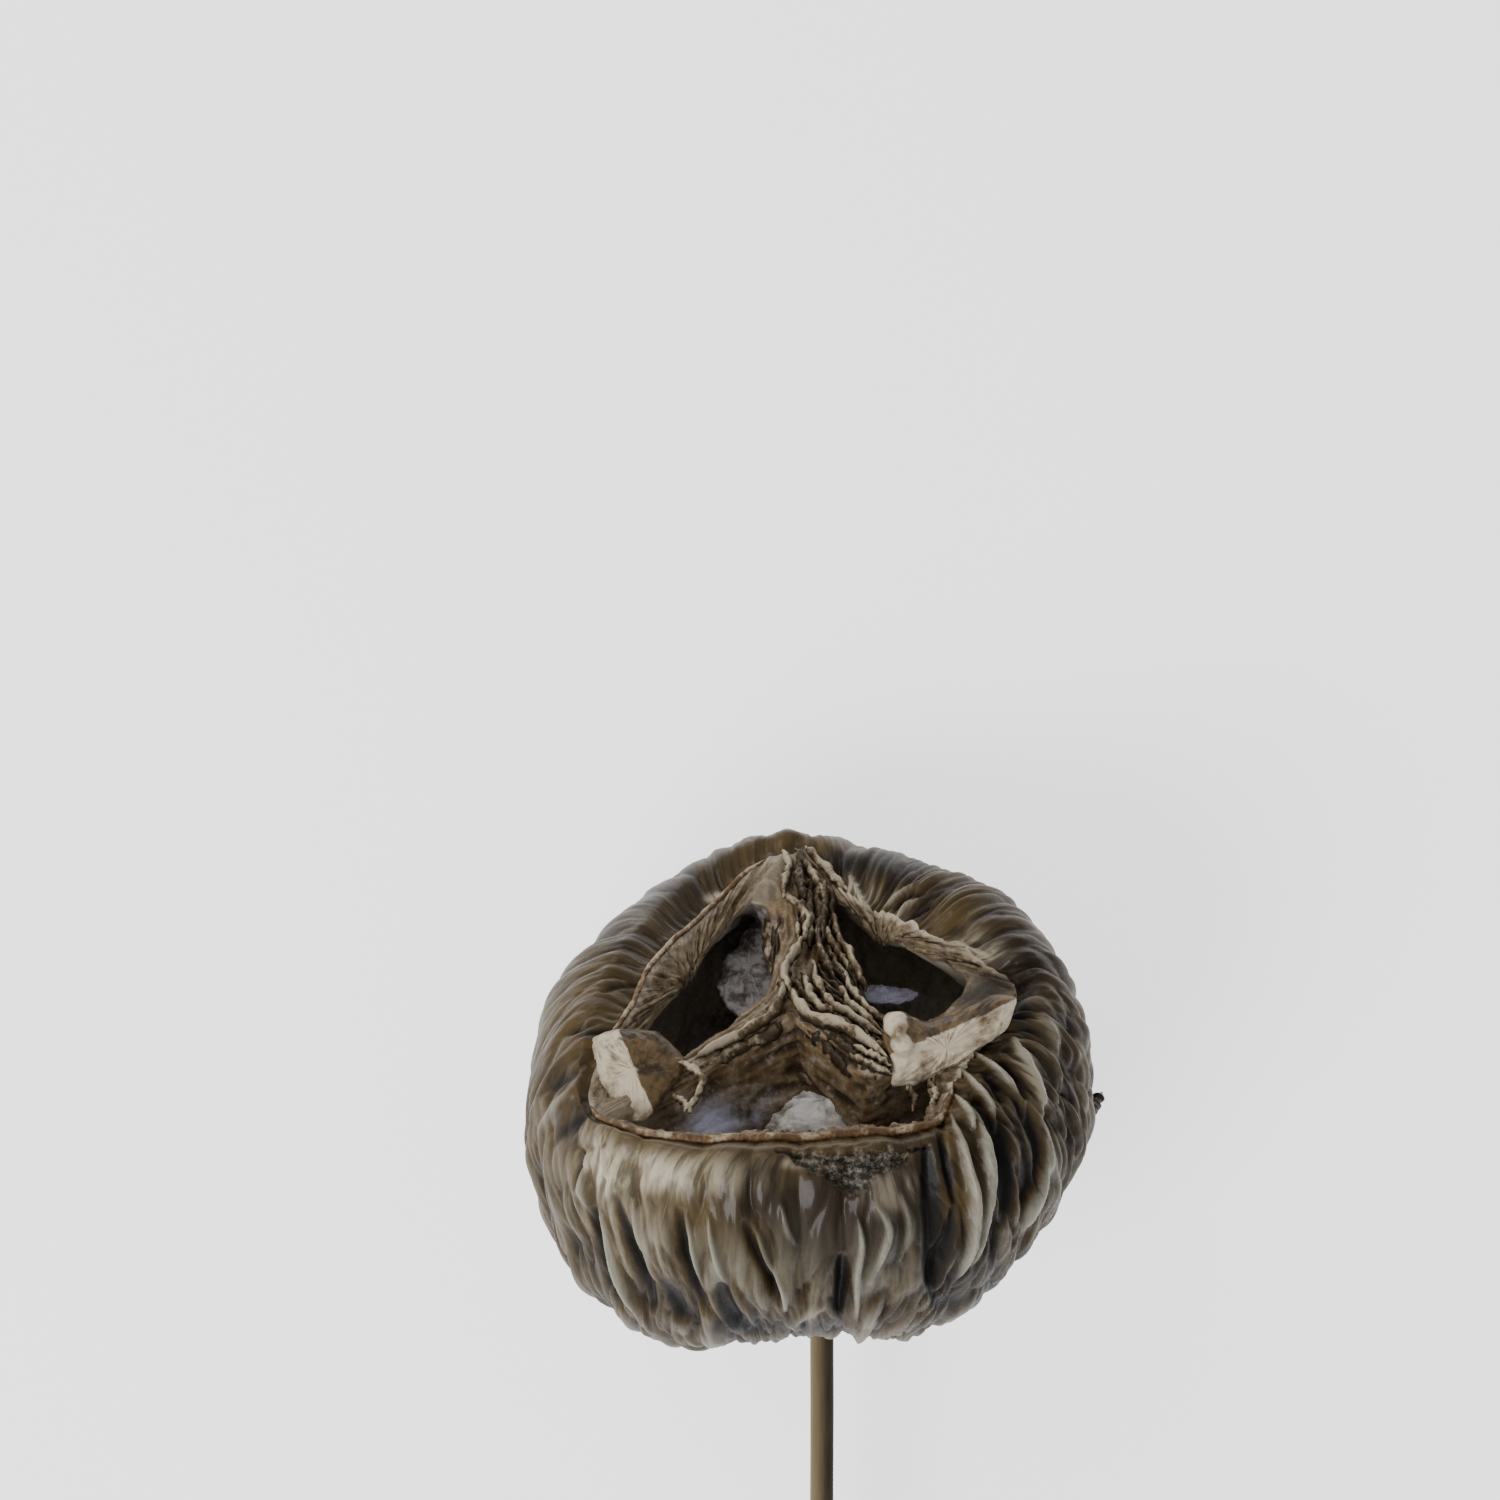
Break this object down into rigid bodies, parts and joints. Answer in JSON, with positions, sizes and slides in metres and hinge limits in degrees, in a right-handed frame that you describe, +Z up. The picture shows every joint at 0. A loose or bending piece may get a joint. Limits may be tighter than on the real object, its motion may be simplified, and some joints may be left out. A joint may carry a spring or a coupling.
{
  "type": "dried talami pod",
  "caption": "Round, wrinkled dried husk of a young palm fruit, cut open to show its empty seed chambers, on a thin straight stick that serves as its stem in dried flower arrangements.",
  "frame": {"origin": "middle of the bounding box's lower face, on the surface that the pod and the stick's end lie on", "axes": "+Z up, +Y from the stick's far end towards the husk, +X to the right seen from above with +Y away"},
  "size_m": [0.0726, 0.2898, 0.0659],
  "materials": {
    "dried_husk": "dried fibrous husk, brown to pale grey, with a clear varnish on the wrinkled skin",
    "stick_wood": "plain dull wood with a fine grain along the stick"
  },
  "bodies": {
    "root": {"husk": "dried_husk", "stick": "stick_wood"}
  },
  "joints": []
}
